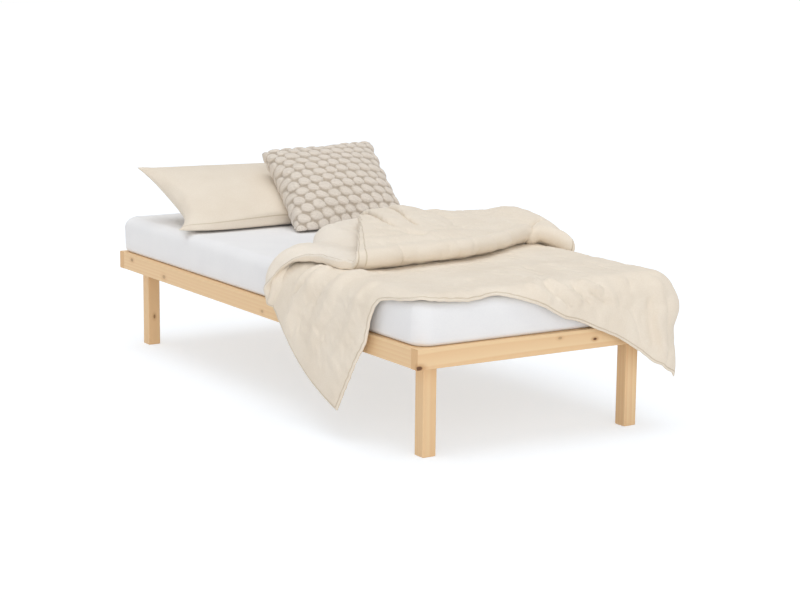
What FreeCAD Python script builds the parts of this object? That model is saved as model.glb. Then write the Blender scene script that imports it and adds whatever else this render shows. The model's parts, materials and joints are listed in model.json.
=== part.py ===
import FreeCAD, Part
import math
import os
from FreeCAD import Vector

# A single pine bed with its bedding: a low frame of plain rails on four
# inset legs, a slatted base, a mattress in a fitted sheet, a pillow, a
# knitted cushion and a duvet thrown across the foot of the bed.
# Origin: the middle of the frame on the floor. +Y runs to the head of the
# bed, +X to the right of someone looking from the foot, +Z up. Millimetres.

# Frame
frame_width = 920.0
frame_length = 2020.0
floor_clearance = 280.0
rail_height = 62.0
rail_thickness = 35.0
rail_edge_radius = 2.5
leg_section = 46.0
leg_edge_radius = 3.0
leg_foot_chamfer = 2.0

# Slatted base
ledge_thickness = 27.0
ledge_height = 34.0
slat_count = 13
slat_width = 70.0
slat_thickness = 18.0
slat_edge_radius = 2.0
slat_end_gap = 2.0
slat_end_margin = 12.0

# Fasteners
bolt_diameter = 8.0
bolt_head_diameter = 15.0
bolt_head_height = 5.0
bolt_head_recess = 6.0
bolt_key_width = 5.0
bolt_key_depth = 3.0
bolt_end_gap = 2.0
insert_diameter = 12.0
insert_length = 20.0
dowel_diameter = 8.0
dowel_length = 40.0
dowel_spacing = 32.0
screw_diameter = 4.4
screw_head_diameter = 8.8
screw_tip_length = 6.0
slat_screw_length = 36.0
ledge_screw_length = 50.0
ledge_screw_gaps = (1, 3, 5, 8, 10, 12)
cleat_screw_count = 3
fastener_clearance = 0.1

# Mattress and fitted sheet
mattress_margin = 10.0
mattress_height = 130.0
mattress_corner_radius = 60.0
mattress_edge_radius = 36.0
sheet_thickness = 1.5
sheet_hem = 90.0
soft_clearance = 0.3

# Pillow, lying tilted with its back seam raised
pillow_length = 690.0
pillow_depth = 470.0
pillow_crown = 64.0
pillow_belly = 118.0
pillow_draw = 16.0
pillow_seam = 9.0
pillow_shift = -85.0
pillow_from_head = 340.0
pillow_lift = 116.0
pillow_turn = 3.0
pillow_tilt = 20.5
case_wall = 3.0

# Cushion, leaning back on the pillow
cushion_side = 435.0
cushion_crown = 76.0
cushion_belly = 74.0
cushion_draw = 14.0
cushion_seam = 8.0
cushion_shift = 130.0
cushion_from_head = 552.0
cushion_lift = 128.0
cushion_turn = -14.5
cushion_tilt = 36.5
cushion_spin = 5.6
cover_wall = 4.0

# Duvet: a padded sheet over the bed with a turned-back roll
duvet_thickness = 20.0
duvet_foot_thickness = 15.0
duvet_side_gap = 4.0
duvet_foot_gap = 3.0
duvet_edge_radius = 45.0
duvet_reach = 1105.0
duvet_lowest = 60.0
duvet_cut_through = 20.0
# even stations along the covered length, from the foot end: how far the left
# and right folds stand out
duvet_side_folds = ((12.0, 12.0), (14.0, 13.0), (38.0, 24.0), (14.0, 12.0), (40.0, 26.0),
                    (14.0, 12.0), (34.0, 24.0), (14.0, 12.0), (12.0, 12.0))
# stations across the foot end: share of the width, then how far it stands out
duvet_foot_folds = ((0.0, 0.0), (0.3, 0.0), (0.5, 3.0), (0.66, 0.5), (0.83, 3.0), (1.0, 1.0))
# hem lines: lengths along the bed are from the foot end, drops are below the
# mattress top, places across are shares of the frame's half width
left_hem = ((130.0, -58.0), (168.0, 17.0), (355.0, 332.0), (398.0, 368.0), (450.0, 360.0),
            (825.0, 167.0), (860.0, 100.0), (850.0, 22.0), (842.0, -58.0))
right_hem = ((-50.0, 312.0), (45.0, 306.0), (240.0, 290.0), (490.0, 268.0), (870.0, 196.0),
             (1270.0, 112.0))
foot_hem = ((-0.49, -4.0), (-0.305, 48.0), (0.075, 106.0), (0.59, 189.0), (0.957, 288.0),
            (1.08, 309.0), (1.3, 318.0))
head_edge = ((-1.22, 830.0), (-0.967, 866.0), (-0.65, 930.0), (-0.3, 985.0), (0.1, 1062.0), (0.5, 1094.0),
             (0.74, 1068.0), (0.96, 1004.0), (1.25, 930.0))
corner_cut = ((-1.22, 170.0), (-0.978, 152.0), (-0.88, 50.0), (-0.86, -50.0))
# the layer folded back over the laid part, and the roll on it: place across,
# near and far edge from the foot end, height
fold_stations = ((-0.95, 520.0, 850.0, 26.0), (-0.717, 440.0, 902.0, 40.0), (-0.283, 436.0, 958.0, 43.0),
                 (0.15, 470.0, 968.0, 44.0), (0.522, 552.0, 930.0, 44.0), (0.87, 606.0, 862.0, 42.0),
                 (1.02, 622.0, 830.0, 30.0))
roll_stations = ((-0.87, 452.0, 520.0, 44.0), (-0.65, 430.0, 690.0, 88.0), (-0.4, 428.0, 872.0, 116.0),
                 (-0.1, 440.0, 1010.0, 130.0), (0.2, 484.0, 1074.0, 127.0), (0.5, 540.0, 1090.0, 122.0),
                 (0.78, 586.0, 1052.0, 116.0), (1.06, 612.0, 970.0, 86.0))
roll_sink = 6.0

# Places that follow from the sizes above
half_width = frame_width / 2
half_length = frame_length / 2
rail_bottom = floor_clearance
rail_top = rail_bottom + rail_height
inner_half_width = half_width - rail_thickness
inner_half_length = half_length - rail_thickness
slat_bottom = rail_top - slat_thickness
ledge_top = slat_bottom
ledge_bottom = ledge_top - ledge_height
leg_outer_x = inner_half_width - ledge_thickness
leg_outer_y = inner_half_length - ledge_thickness
leg_middle_x = leg_outer_x - leg_section / 2
leg_middle_y = leg_outer_y - leg_section / 2
side_bolt_height = ledge_bottom + 0.28 * ledge_height
end_bolt_height = ledge_bottom + 0.72 * ledge_height
ledge_middle = (ledge_bottom + ledge_top) / 2
mattress_top = rail_top + mattress_height
mattress_width = frame_width - 2 * mattress_margin
mattress_length = frame_length - 2 * mattress_margin
pillow_middle = Vector(pillow_shift, half_length - pillow_from_head, mattress_top + pillow_lift)
cushion_middle = Vector(cushion_shift, half_length - cushion_from_head, mattress_top + cushion_lift)
duvet_head_end = duvet_reach - half_length
slat_pitch = (2 * (inner_half_length - slat_end_margin) - slat_width) / (slat_count - 1)

corners = {"foot_left": (-1, -1), "foot_right": (1, -1), "head_left": (-1, 1), "head_right": (1, 1)}


def slat_middle(index):
    return -inner_half_length + slat_end_margin + slat_width / 2 + index * slat_pitch


def bar(low, high):
    size = high - low
    return Part.makeBox(size.x, size.y, size.z, low)


def edges_along(shape, axis):
    found = []
    for edge in shape.Edges:
        way = (edge.Vertexes[-1].Point - edge.Vertexes[0].Point).normalize()
        if abs(way.dot(axis)) > 0.999:
            found.append(edge)
    return found


def rod(start, way, diameter, length):
    return Part.makeCylinder(diameter / 2, length, start, way)


def turned(points, start, way):
    # a solid of revolution: points give (distance along the axis, radius)
    outline = [Vector(radius, 0, along) for along, radius in points]
    face = Part.Face(Part.makePolygon(outline + outline[:1]))
    solid = face.revolve(Vector(0, 0, 0), Vector(0, 0, 1), 360)
    solid.Placement = FreeCAD.Placement(start, FreeCAD.Rotation(Vector(0, 0, 1), way))
    return solid


def arc(start, middle, end):
    return Part.Arc(start, middle, end).toShape()


def line(start, end):
    return Part.makeLine(start, end)


def wood_screw(start, way, length):
    head = screw_head_diameter / 2
    shank = screw_diameter / 2
    return turned([(0, 0), (0, head), (head - shank, shank), (length - screw_tip_length, shank), (length, 0)],
                  start, way)


def screw_hole(start, way, length):
    head = screw_head_diameter / 2 + fastener_clearance
    shank = screw_diameter / 2 + fastener_clearance
    return turned([(0, 0), (0, head), (head - shank, shank), (length, shank), (length, 0)], start, way)


def leg_bolt(start, way, length):
    head = rod(start, way, bolt_head_diameter, bolt_head_height)
    shank = rod(start + way * bolt_head_height, way, bolt_diameter, length)
    key = Part.Face(Part.makePolygon([
        Vector(bolt_key_width / math.sqrt(3) * math.cos(math.radians(60 * i)),
               bolt_key_width / math.sqrt(3) * math.sin(math.radians(60 * i)), 0) for i in range(7)]))
    key = key.extrude(Vector(0, 0, bolt_key_depth))
    key.Placement = FreeCAD.Placement(start, FreeCAD.Rotation(Vector(0, 0, 1), way))
    return head.fuse(shank).removeSplitter().cut(key)


# Every leg is drawn up by two bolts: one through the ledge into the side
# rail, one through the cleat into the end rail.
def bolt_places():
    places = []
    inner = leg_section / 2
    for sx, sy in corners.values():
        middle = Vector(sx * leg_middle_x, sy * leg_middle_y, 0)
        places.append((middle + Vector(-sx * inner, 0, side_bolt_height), Vector(sx, 0, 0)))
        places.append((middle + Vector(0, -sy * inner, end_bolt_height), Vector(0, sy, 0)))
    return places


bolt_run = leg_section + ledge_thickness
bolt_length = bolt_run - bolt_head_recess + insert_length - bolt_end_gap


def bolt_holes():
    holes = []
    for start, way in bolt_places():
        holes.append(rod(start, way, bolt_head_diameter + 1, bolt_head_recess))
        holes.append(rod(start, way, bolt_diameter + 2 * fastener_clearance, bolt_run))
        holes.append(rod(start + way * bolt_run, way, insert_diameter, insert_length))
    return holes


def dowel_places():
    places = []
    rail_middle = (rail_bottom + rail_top) / 2
    for sx, sy in corners.values():
        for lift in (-dowel_spacing / 2, dowel_spacing / 2):
            place = Vector(sx * (half_width - rail_thickness / 2),
                           sy * (inner_half_length + dowel_length * 0.4), rail_middle + lift)
            places.append((place, Vector(0, -sy, 0)))
    return places


def slat_screw_places():
    ledge_centre = inner_half_width - ledge_thickness / 2
    return [(Vector(side * ledge_centre, slat_middle(i), rail_top), Vector(0, 0, -1))
            for i in range(slat_count) for side in (-1, 1)]


def ledge_screw_places():
    # set in the spaces between slats, clear of the slat screws
    places = []
    for side in (-1, 1):
        for gap in ledge_screw_gaps:
            y = slat_middle(gap - 1) + slat_pitch / 2
            places.append((Vector(side * leg_outer_x, y, ledge_middle), Vector(side, 0, 0)))
    return places


def cleat_screw_places():
    reach = leg_outer_x - leg_section
    places = []
    for end in (-1, 1):
        for i in range(cleat_screw_count):
            x = reach * (2 * (i + 1) / (cleat_screw_count + 1) - 1)
            places.append((Vector(x, end * leg_outer_y, ledge_middle), Vector(0, end, 0)))
    return places


def drilled(shape, holes):
    near = [hole for hole in holes if hole.BoundBox.intersect(shape.BoundBox)]
    return shape.cut(near) if near else shape


def build_frame():
    nodes = {}
    holes = bolt_holes()
    holes += [rod(place, way, dowel_diameter, dowel_length) for place, way in dowel_places()]
    holes += [screw_hole(place, way, ledge_screw_length)
              for place, way in ledge_screw_places() + cleat_screw_places()]
    slat_holes = [screw_hole(place, way, slat_screw_length) for place, way in slat_screw_places()]

    for name, side in (("left", -1), ("right", 1)):
        xs = sorted((side * inner_half_width, side * half_width))
        rail = bar(Vector(xs[0], -inner_half_length, rail_bottom), Vector(xs[1], inner_half_length, rail_top))
        rail = rail.makeFillet(rail_edge_radius, edges_along(rail, Vector(0, 1, 0)))
        nodes["side_rail_" + name] = drilled(rail, holes)

        xs = sorted((side * leg_outer_x, side * inner_half_width))
        ledge = bar(Vector(xs[0], -inner_half_length, ledge_bottom), Vector(xs[1], inner_half_length, ledge_top))
        nodes["slat_ledge_" + name] = drilled(ledge, holes + slat_holes)

    for name, end in (("foot", -1), ("head", 1)):
        ys = sorted((end * inner_half_length, end * half_length))
        rail = bar(Vector(-half_width, ys[0], rail_bottom), Vector(half_width, ys[1], rail_top))
        rail = rail.makeFillet(rail_edge_radius, edges_along(rail, Vector(1, 0, 0)))
        nodes[name + "_rail"] = drilled(rail, holes)

        ys = sorted((end * leg_outer_y, end * inner_half_length))
        cleat = bar(Vector(-leg_outer_x, ys[0], ledge_bottom), Vector(leg_outer_x, ys[1], ledge_top))
        nodes[name + "_cleat"] = drilled(cleat, holes)

    for name, (sx, sy) in corners.items():
        middle = Vector(sx * leg_middle_x, sy * leg_middle_y, 0)
        half = Vector(leg_section / 2, leg_section / 2, 0)
        leg = bar(middle - half, middle + half + Vector(0, 0, ledge_top))
        leg = leg.makeFillet(leg_edge_radius, edges_along(leg, Vector(0, 0, 1)))
        sole = [edge for edge in leg.Edges if edge.BoundBox.ZMax < 0.001]
        leg = leg.makeChamfer(leg_foot_chamfer, sole)
        nodes["leg_" + name] = drilled(leg, holes)

    reach = inner_half_width - slat_end_gap
    for i in range(slat_count):
        y = slat_middle(i)
        slat = bar(Vector(-reach, y - slat_width / 2, slat_bottom), Vector(reach, y + slat_width / 2, rail_top))
        slat = slat.makeFillet(slat_edge_radius, edges_along(slat, Vector(1, 0, 0)))
        nodes["slat_%02d" % (i + 1)] = drilled(slat, slat_holes)
    return nodes


def build_fasteners():
    bolts, inserts = [], []
    for start, way in bolt_places():
        bolts.append(leg_bolt(start + way * (bolt_head_recess - bolt_head_height), way, bolt_length))
        place = start + way * bolt_run
        sleeve = rod(place, way, insert_diameter, insert_length)
        inserts.append(sleeve.cut(rod(place, way, bolt_diameter + fastener_clearance, insert_length)))
    dowels = [rod(place, way, dowel_diameter, dowel_length) for place, way in dowel_places()]
    return {
        "leg_bolts": Part.makeCompound(bolts),
        "insert_nuts": Part.makeCompound(inserts),
        "corner_dowels": Part.makeCompound(dowels),
        "slat_screws": Part.makeCompound([wood_screw(p, w, slat_screw_length) for p, w in slat_screw_places()]),
        "ledge_screws": Part.makeCompound([wood_screw(p, w, ledge_screw_length) for p, w in ledge_screw_places()]),
        "cleat_screws": Part.makeCompound([wood_screw(p, w, ledge_screw_length) for p, w in cleat_screw_places()]),
    }


def mattress_block(inset):
    half = Vector(mattress_width / 2 - inset, mattress_length / 2 - inset, 0)
    block = bar(Vector(0, 0, rail_top + inset) - half, Vector(0, 0, mattress_top - inset) + half)
    block = block.makeFillet(mattress_corner_radius - inset, edges_along(block, Vector(0, 0, 1)))
    rims = [edge for edge in block.Edges if edge.BoundBox.ZLength < 0.001]
    return block.makeFillet(mattress_edge_radius - inset, rims)


def build_mattress():
    core = mattress_block(sheet_thickness + soft_clearance)
    half = Vector(mattress_width / 2 - sheet_hem, mattress_length / 2 - sheet_hem, 0)
    under = Vector(0, 0, rail_top)
    opening = bar(under - half - Vector(0, 0, 5), under + half + Vector(0, 0, 5))
    opening = opening.makeFillet(mattress_corner_radius, edges_along(opening, Vector(0, 0, 1)))
    sheet = mattress_block(0).cut([mattress_block(sheet_thickness), opening])
    return {"mattress": core, "fitted_sheet": sheet}


# A stuffed pad: lens sections between two seams, with a high crown, sides
# drawn in between the corners and a thin seam all round.
def pad(length, depth, crown, belly, draw, seam):
    wires = []
    for share in (-1.0, -0.9, -0.62, -0.25, 0.25, 0.62, 0.9, 1.0):
        x = share * length / 2
        half = depth / 2 - draw * (1 - share ** 2)
        swell = (1 - abs(share) ** 2.4) ** 0.6
        lip = seam / 2
        high, low = lip + 0.6 + (crown - lip) * swell, -lip - 0.6 - (belly - lip) * swell
        front_low, front_high = Vector(x, -half, -lip), Vector(x, -half, lip)
        back_low, back_high = Vector(x, half, -lip), Vector(x, half, lip)
        wires.append(Part.Wire([
            arc(front_high, Vector(x, 0, high), back_high), line(back_high, back_low),
            arc(back_low, Vector(x, 0, low), front_low), line(front_low, front_high)]))
    body = Part.makeLoft(wires, True, False)
    end, side, deep = length / 2 + 1, depth / 2 + 20, length / 2 - draw
    trim = Part.Face(Part.Wire([
        line(Vector(-end, -side, 0), Vector(end, -side, 0)),
        arc(Vector(end, -side, 0), Vector(deep, 0, 0), Vector(end, side, 0)),
        line(Vector(end, side, 0), Vector(-end, side, 0)),
        arc(Vector(-end, side, 0), Vector(-deep, 0, 0), Vector(-end, -side, 0))]))
    trim.translate(Vector(0, 0, -2 * belly))
    return body.common(trim.extrude(Vector(0, 0, 2 * (crown + belly))))


def laid(shape, middle, turn, tilt, spin=0.0):
    placed = shape.copy()
    about = FreeCAD.Rotation(Vector(0, 0, 1), spin)
    lean = FreeCAD.Rotation(Vector(1, 0, 0), tilt)
    yaw = FreeCAD.Rotation(Vector(0, 0, 1), turn)
    placed.Placement = FreeCAD.Placement(middle, yaw.multiply(lean).multiply(about))
    return placed


def above(level):
    return bar(Vector(-half_width * 2, -frame_length, level), Vector(half_width * 2, frame_length, level + 600))


def pillow_form(inset):
    form = pad(pillow_length - 2 * inset, pillow_depth - 2 * inset, pillow_crown - inset, pillow_belly - inset,
               pillow_draw, pillow_seam - min(inset, 2.5))
    form = laid(form, pillow_middle, pillow_turn, pillow_tilt)
    return form.common(above(mattress_top + soft_clearance + max(inset, 0)))


def cushion_form(inset):
    form = pad(cushion_side - 2 * inset, cushion_side - 2 * inset, cushion_crown - inset, cushion_belly - inset,
               cushion_draw, cushion_seam - min(inset, 2.5))
    form = laid(form, cushion_middle, cushion_turn, cushion_tilt, cushion_spin)
    form = form.common(above(mattress_top + soft_clearance + inset))
    return form.cut(pillow_form(-2 * soft_clearance - inset))


def build_pads():
    return {
        "pillowcase": pillow_form(0).cut(pillow_form(case_wall)),
        "pillow_insert": pillow_form(case_wall + soft_clearance),
        "cushion_cover": cushion_form(0).cut(cushion_form(cover_wall)),
        "cushion_insert": cushion_form(cover_wall + 3 * soft_clearance),
    }


# The duvet's laid part: one dome bending down over both long sides and one
# bending down over the foot end; where they meet they make the cover's
# outside, and the same pair drawn in by the padding makes its inside.
def side_dome(padding, start, end):
    top = mattress_top + soft_clearance + padding
    out = half_width + duvet_side_gap + padding
    radius = duvet_edge_radius + padding
    bend = radius * (1 - math.sqrt(0.5))
    bottom = duvet_lowest if padding else duvet_lowest - duvet_cut_through
    wires = []
    for index, (left, right) in enumerate(duvet_side_folds):
        y = start + index / (len(duvet_side_folds) - 1) * (end - start)
        points = [Vector(-out - left, y, bottom), Vector(-out, y, top - radius),
                  Vector(-out + bend, y, top - bend), Vector(-out + radius, y, top),
                  Vector(out - radius, y, top), Vector(out - bend, y, top - bend),
                  Vector(out, y, top - radius), Vector(out + right, y, bottom)]
        wires.append(Part.Wire([line(points[0], points[1]), arc(points[1], points[2], points[3]),
                                line(points[3], points[4]), arc(points[4], points[5], points[6]),
                                line(points[6], points[7]), line(points[7], points[0])]))
    return Part.makeLoft(wires, True, False)


def foot_dome(padding, reach, head_end):
    top = mattress_top + soft_clearance + padding * duvet_thickness / duvet_foot_thickness
    out = half_length + duvet_foot_gap + padding
    radius = duvet_edge_radius + padding
    bend = radius * (1 - math.sqrt(0.5))
    bottom = duvet_lowest if padding else duvet_lowest - duvet_cut_through
    wires = []
    for share, stand in duvet_foot_folds:
        x = reach * (2 * share - 1)
        points = [Vector(x, -out - stand, bottom), Vector(x, -out, top - radius),
                  Vector(x, -out + bend, top - bend), Vector(x, -out + radius, top),
                  Vector(x, head_end, top), Vector(x, head_end, bottom)]
        wires.append(Part.Wire([line(points[0], points[1]), arc(points[1], points[2], points[3]),
                                line(points[3], points[4]), line(points[4], points[5]),
                                line(points[5], points[0])]))
    return Part.makeLoft(wires, True, False)


def hem_curve(points):
    curve = Part.BSplineCurve()
    curve.interpolate(list(points))
    return curve.toShape()


# What lies outside a hem: the face between the hem curve and a far outline
# that runs from the hem's end back to its start.
def beyond_hem(points, outside, way):
    hem = hem_curve(points)
    far = [points[-1]] + list(outside) + [points[0]]
    edges = [hem] + [line(a, b) for a, b in zip(far, far[1:])]
    return Part.Face(Part.Wire(edges)).extrude(way)


def along(length):
    return length - half_length


def across(share):
    return share * half_width


def duvet_waste():
    near, far, low = along(-190), along(duvet_reach + 215), 0.0
    left, right = -half_width - 240, half_width + 240
    inner = half_width - 15
    lefts = [Vector(left, along(length), mattress_top - drop) for length, drop in left_hem]
    rights = [Vector(inner - 10, along(length), mattress_top - drop) for length, drop in right_hem]
    feet = [Vector(across(share), near, mattress_top - drop) for share, drop in foot_hem]
    heads = [Vector(across(share), along(length), low) for share, length in head_edge]
    corner = [Vector(across(share), along(length), low) for share, length in corner_cut]
    return [
        beyond_hem(lefts, [Vector(left, far, lefts[-1].z), Vector(left, far, low),
                           Vector(left, near, low), Vector(left, near, lefts[0].z)],
                   Vector(-inner - left, 0, 0)),
        beyond_hem(rights, [Vector(inner - 10, far, low), Vector(inner - 10, near, low)], Vector(300, 0, 0)),
        beyond_hem(feet, [Vector(right, near, feet[-1].z), Vector(right, near, low),
                          Vector(left, near, low), Vector(left, near, feet[0].z)],
                   Vector(0, -half_length + duvet_edge_radius - near, 0)),
        beyond_hem(heads, [Vector(right, heads[-1].y, low), Vector(right, far, low), Vector(left, far, low),
                           Vector(left, heads[0].y, low)], Vector(0, 0, 700)),
        beyond_hem(corner, [Vector(corner[-1].x, near, low), Vector(left, near, low),
                            Vector(left, corner[0].y, low)], Vector(0, 0, 700))]


# The head end of the duvet, turned back over itself: first flat, then forward
# again in a soft thick roll.
def turned_back(stations):
    bottom = mattress_top + soft_clearance + duvet_thickness - roll_sink
    wires = []
    for share, near_end, far_end, height in stations:
        x, near, far = across(share), along(near_end), along(far_end)
        wide = far - near
        near_foot, far_foot = Vector(x, near, bottom), Vector(x, far, bottom)
        near_crest = Vector(x, near + 0.2 * wide, bottom + 0.9 * height)
        far_crest = Vector(x, far - 0.22 * wide, bottom + 0.92 * height)
        wires.append(Part.Wire([
            line(far_foot, near_foot),
            arc(near_foot, Vector(x, near + 0.03 * wide, bottom + 0.55 * height), near_crest),
            arc(near_crest, Vector(x, (near + far) / 2, bottom + height), far_crest),
            arc(far_crest, Vector(x, far - 0.04 * wide, bottom + 0.55 * height), far_foot)]))
    return Part.makeLoft(wires, True, False)


def build_duvet():
    start, reach = -half_length - 60, half_width + 120
    outside = side_dome(duvet_thickness, start, duvet_head_end).common(
        foot_dome(duvet_foot_thickness, reach, duvet_head_end + 10))
    inside = side_dome(0, start - duvet_cut_through, duvet_head_end + duvet_cut_through).common(
        foot_dome(0, reach + duvet_cut_through, duvet_head_end + 3 * duvet_cut_through))
    laid_part = outside.cut(inside).cut(duvet_waste())
    return {"duvet": laid_part.fuse([turned_back(fold_stations), turned_back(roll_stations)]).removeSplitter()}


nodes = build_frame()
nodes.update(build_fasteners())
nodes.update(build_mattress())
nodes.update(build_pads())
nodes.update(build_duvet())

os.makedirs("parts", exist_ok=True)
for name, shape in nodes.items():
    box = shape.BoundBox
    print(name, len(shape.Solids), "valid" if shape.isValid() else "NOT VALID",
          "%.0f %.0f %.0f to %.0f %.0f %.0f" % (box.XMin, box.YMin, box.ZMin, box.XMax, box.YMax, box.ZMax),
          "%.0f cm3" % (shape.Volume / 1000))
    shape.exportStep("parts/%s.step" % name)
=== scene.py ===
import json
import math

import bmesh
import bpy
import numpy as np
from mathutils import Matrix, Vector, noise

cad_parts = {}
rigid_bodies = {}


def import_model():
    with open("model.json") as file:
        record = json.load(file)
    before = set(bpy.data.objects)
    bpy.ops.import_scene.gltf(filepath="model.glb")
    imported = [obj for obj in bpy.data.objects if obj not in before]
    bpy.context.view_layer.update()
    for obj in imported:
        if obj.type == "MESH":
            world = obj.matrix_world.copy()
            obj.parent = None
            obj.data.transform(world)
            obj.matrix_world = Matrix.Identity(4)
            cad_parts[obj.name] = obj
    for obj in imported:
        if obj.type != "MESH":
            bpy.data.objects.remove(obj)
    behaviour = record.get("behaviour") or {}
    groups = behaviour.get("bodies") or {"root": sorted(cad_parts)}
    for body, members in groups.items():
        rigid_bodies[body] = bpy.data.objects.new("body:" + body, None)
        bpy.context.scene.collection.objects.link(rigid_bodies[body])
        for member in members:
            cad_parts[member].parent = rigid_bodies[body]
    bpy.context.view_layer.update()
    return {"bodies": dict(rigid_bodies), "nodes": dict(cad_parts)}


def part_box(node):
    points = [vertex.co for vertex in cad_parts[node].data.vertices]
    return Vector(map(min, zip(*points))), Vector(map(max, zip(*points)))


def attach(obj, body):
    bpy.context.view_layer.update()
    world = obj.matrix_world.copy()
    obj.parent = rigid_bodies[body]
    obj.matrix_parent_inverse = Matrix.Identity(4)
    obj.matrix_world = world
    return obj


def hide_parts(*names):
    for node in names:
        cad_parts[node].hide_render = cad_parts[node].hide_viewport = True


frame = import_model()
nodes = frame["nodes"]
scene = bpy.context.scene
noise.seed_set(1)  # else each run draws its vector noise at other places
print("frame loaded:", len(nodes), "nodes")

# where things lie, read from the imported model
mattressLow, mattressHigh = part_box("fitted_sheet")
mattressTop = mattressHigh.z
railLow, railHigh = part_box("foot_rail")
frameWidth = railHigh.x - railLow.x
footLeft = Vector((railLow.x, railLow.y, 0.0))  # the corner that the duvet's plan is measured from
closeBy = 0.001  # two places nearer than this, in metres, are the same one
wavePeriod = 0.314  # a wave texture of scale 1 repeats after this many metres


def hexColour(text):
    # sRGB hex to linear
    values = [int(text[i:i + 2], 16) / 255 for i in (1, 3, 5)]
    linear = [v / 12.92 if v <= 0.04045 else ((v + 0.055) / 1.055) ** 2.4 for v in values]
    return (*linear, 1.0)


def addNode(tree, kind, inputs=None, **settings):
    node = tree.nodes.new("ShaderNode" + kind)
    for name, value in settings.items():
        setattr(node, name, value)
    for name, value in (inputs or {}).items():
        if isinstance(value, bpy.types.NodeSocket):
            tree.links.new(value, node.inputs[name])
        else:
            node.inputs[name].default_value = value
    return node


def reckon(tree, operation, *values):
    # one step of arithmetic on sockets and numbers
    return addNode(tree, "Math", dict(enumerate(values)), operation=operation).outputs[0]


def remap(tree, value, source, target=(0.0, 1.0), curve="LINEAR"):
    # takes a value from one range to another
    inputs = {"Value": value, "From Min": source[0], "From Max": source[1]}
    inputs.update({"To Min": target[0], "To Max": target[1]})
    return addNode(tree, "MapRange", inputs, interpolation_type=curve).outputs[0]


def speckle(tree, place, scale, detail):
    return addNode(tree, "TexNoise", {"Vector": place, "Scale": scale, "Detail": detail}).outputs["Fac"]


def mixColours(tree, share, first, second):
    return addNode(tree, "Mix", {0: share, 6: first, 7: second}, data_type="RGBA").outputs[2]


def colourRamp(tree, value, stops):
    # colours along a value: position and hex of each stop
    ramp = addNode(tree, "ValToRGB", {"Fac": value})
    marks = ramp.color_ramp.elements
    while len(marks) < len(stops):
        marks.new(1.0)
    for mark, (position, colour) in zip(marks, stops):
        mark.position = position
        mark.color = hexColour(colour)
    return ramp.outputs["Color"]


def bumped(tree, height, strength, distance, base=None, **settings):
    # a normal lifted by a height, on top of an earlier one
    inputs = {"Height": height, "Strength": strength, "Distance": distance}
    if base:
        inputs["Normal"] = base
    return addNode(tree, "Bump", inputs, **settings).outputs[0]


def newMaterial(name, shaderInputs):
    material = bpy.data.materials.new(name)
    material.use_nodes = True
    tree = material.node_tree
    shader = tree.nodes["Principled BSDF"]
    for key, value in shaderInputs.items():
        shader.inputs[key].default_value = value
    return material, tree, shader


def newObject(name, bm):
    mesh = bpy.data.meshes.new(name)
    bm.to_mesh(mesh)
    bm.free()
    piece = bpy.data.objects.new(name, mesh)
    scene.collection.objects.link(piece)
    return piece


def shadeSmooth(piece):
    piece.data.polygons.foreach_set("use_smooth", [True] * len(piece.data.polygons))


def dress(piece, materials, body, replaced):
    for material in materials:
        piece.data.materials.append(material)
    shadeSmooth(piece)
    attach(piece, body)
    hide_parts(*replaced)


# Camera, standing at the foot, left of the bed
cameraSettings = {
    "place": (-3.5247, -5.7173, 1.5390),
    "yaw": 0.5678, "pitch": 0.18519, "roll": 0.01048,
    "lens": 90.52, "sensor": 36.0,
}


def buildCamera(settings):
    yaw, pitch, roll = settings["yaw"], settings["pitch"], settings["roll"]
    forward = Vector((math.sin(yaw) * math.cos(pitch), math.cos(yaw) * math.cos(pitch), -math.sin(pitch)))
    right = forward.cross(Vector((0, 0, 1))).normalized()
    up = right.cross(forward)
    tiltedRight = math.cos(roll) * right + math.sin(roll) * up
    tiltedUp = math.cos(roll) * up - math.sin(roll) * right
    camera = bpy.data.objects.new("camera", bpy.data.cameras.new("camera"))
    camera.data.lens = settings["lens"]
    camera.data.sensor_width = settings["sensor"]
    turn = Matrix((tiltedRight, tiltedUp, -forward)).transposed().to_4x4()
    camera.matrix_world = Matrix.Translation(settings["place"]) @ turn
    scene.collection.objects.link(camera)
    scene.camera = camera


buildCamera(cameraSettings)

# Light and floor: an even white tent, a broad soft lamp overhead and another from the front left
studio = {
    "ambient": 0.46,
    # lamps: direction they shine from, strength, apparent size in degrees
    "lamps": {"key": ((-0.04, 0.0, 1.0), 1.10, 56.0), "fill": ((-0.45, -0.85, 0.30), 1.00, 60.0)},
    "floorSize": 60.0, "floorGlow": 0.36, "floorLevel": 1.55, "floorTint": "#ECF5FF",
}


def seenDirectly(tree):
    # 1 for rays that show the backdrop itself: camera, mirror and glass rays
    rays = addNode(tree, "LightPath").outputs
    direct = reckon(tree, "MAXIMUM", rays["Is Camera Ray"], rays["Is Glossy Ray"])
    return reckon(tree, "MAXIMUM", direct, rays["Is Transmission Ray"])


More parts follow.
